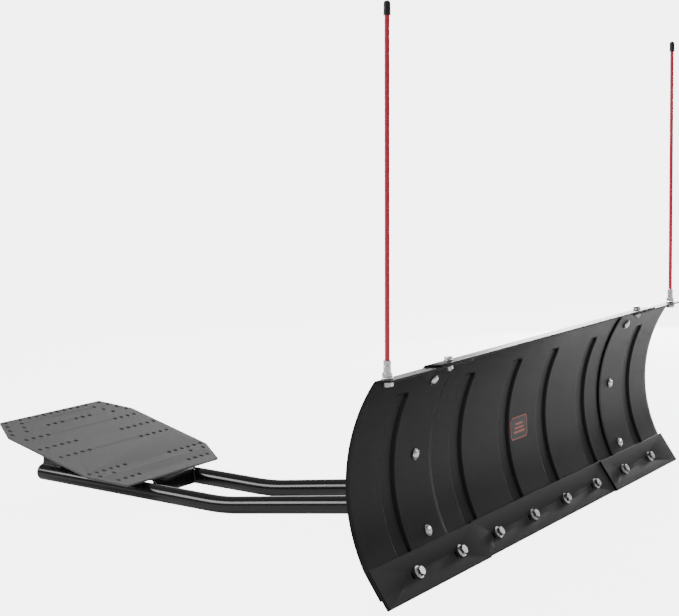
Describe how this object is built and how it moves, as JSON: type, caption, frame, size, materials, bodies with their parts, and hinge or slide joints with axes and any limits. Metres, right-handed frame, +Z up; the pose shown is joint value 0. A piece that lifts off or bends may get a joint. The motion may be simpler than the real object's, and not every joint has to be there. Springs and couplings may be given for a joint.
{
  "type": "utility vehicle plow blade",
  "caption": "Curved steel snow plow blade with trip springs, an angling pivot and a bent tube push frame that ends in a hinged, perforated mount plate.",
  "frame": {"origin": "middle of the footprint, on the surface that the cutting edge and the push tubes stand on", "axes": "+Z up, -Y the way the blade faces and pushes, +Y back to the mount plate, X across the blade"},
  "size_m": [1.32, 1.4076, 0.9671],
  "materials": {
    "satin_black": "satin black powder coat",
    "edge_black": "black powder coat, slightly glossier",
    "gloss_black": "gloss black paint",
    "speckled_black": "textured black powder coat",
    "zinc": "bright zinc plate",
    "spring_steel": "zinc plated spring wire",
    "red_rod": "gloss red fibreglass",
    "black_vinyl": "matte black vinyl"
  },
  "bodies": {
    "push_frame": {"push_tube_left": "gloss_black", "push_tube_right": "gloss_black", "tube_plug_left": "black_vinyl", "tube_plug_right": "black_vinyl", "front_cross_tube": "gloss_black", "rear_cross_angle": "gloss_black", "pivot_plate": "satin_black", "hinge_lug_left": "gloss_black", "hinge_lug_right": "gloss_black", "lift_bar": "gloss_black", "lift_loop": "zinc", "king_bolt": "zinc", "king_nut": "zinc"},
    "mount_plate": {"mount_plate": "speckled_black", "clevis_left": "satin_black", "clevis_right": "satin_black", "mount_hinge_rod": "zinc"},
    "swivel": {"swivel_plate": "satin_black", "swivel_bracket": "satin_black", "index_housing": "satin_black", "trip_hinge_rod": "zinc", "spring_anchor": "satin_black", "index_spring": "spring_steel", "trip_spring_left": "spring_steel", "trip_spring_right": "spring_steel"},
    "index_pin": {"index_pin": "zinc"},
    "blade": {"backing_bar": "satin_black", "cutting_edge_centre": "edge_black", "cutting_edge_left": "edge_black", "cutting_edge_right": "edge_black", "edge_bolt_1": "zinc", "edge_bolt_2": "zinc", "edge_bolt_3": "zinc", "edge_bolt_4": "zinc", "edge_bolt_5": "zinc", "edge_bolt_6": "zinc", "edge_bolt_7": "zinc", "edge_bolt_8": "zinc", "flange_bolt_left": "zinc", "flange_bolt_right": "zinc", "marker_cap_left": "black_vinyl", "marker_cap_right": "black_vinyl", "marker_nut_left": "zinc", "marker_nut_right": "zinc", "marker_rod_left": "red_rod", "marker_rod_right": "red_rod", "marker_socket_left": "zinc", "marker_socket_right": "zinc", "mouldboard_centre": "satin_black", "mouldboard_left": "satin_black", "mouldboard_right": "satin_black", "rib_left": "satin_black", "rib_right": "satin_black", "seam_bolt_left_low": "zinc", "seam_bolt_left_middle": "zinc", "seam_bolt_left_top": "zinc", "seam_bolt_right_low": "zinc", "seam_bolt_right_middle": "zinc", "seam_bolt_right_top": "zinc", "spring_bar": "zinc"}
  },
  "joints": [
    {"name": "mount_hinge", "type": "hinge", "parent": "push_frame", "child": "mount_plate", "pos_m": [0, 0.62505, 0.117], "axis": [-1, 0, 0], "range_deg": [0, 45]},
    {"name": "blade_angle", "type": "hinge", "parent": "push_frame", "child": "swivel", "pos_m": [0, -0.42795, 0.077], "axis": [0, 0, 1], "range_deg": [-30, 30]},
    {"name": "index_pin_pull", "type": "slide", "parent": "swivel", "child": "index_pin", "axis": [0, 0, 1], "range_m": [0, 0.016], "stiffness_N_per_m": 900, "springref_m": -0.01, "deforming": ["index_spring"]},
    {"name": "blade_trip", "type": "hinge", "parent": "swivel", "child": "blade", "pos_m": [0, -0.53695, 0.085], "axis": [1, 0, 0], "range_deg": [0, 30], "stiffness_Nm_per_rad": 80, "springref_deg": -34.38, "deforming": ["trip_spring_left", "trip_spring_right"]}
  ]
}
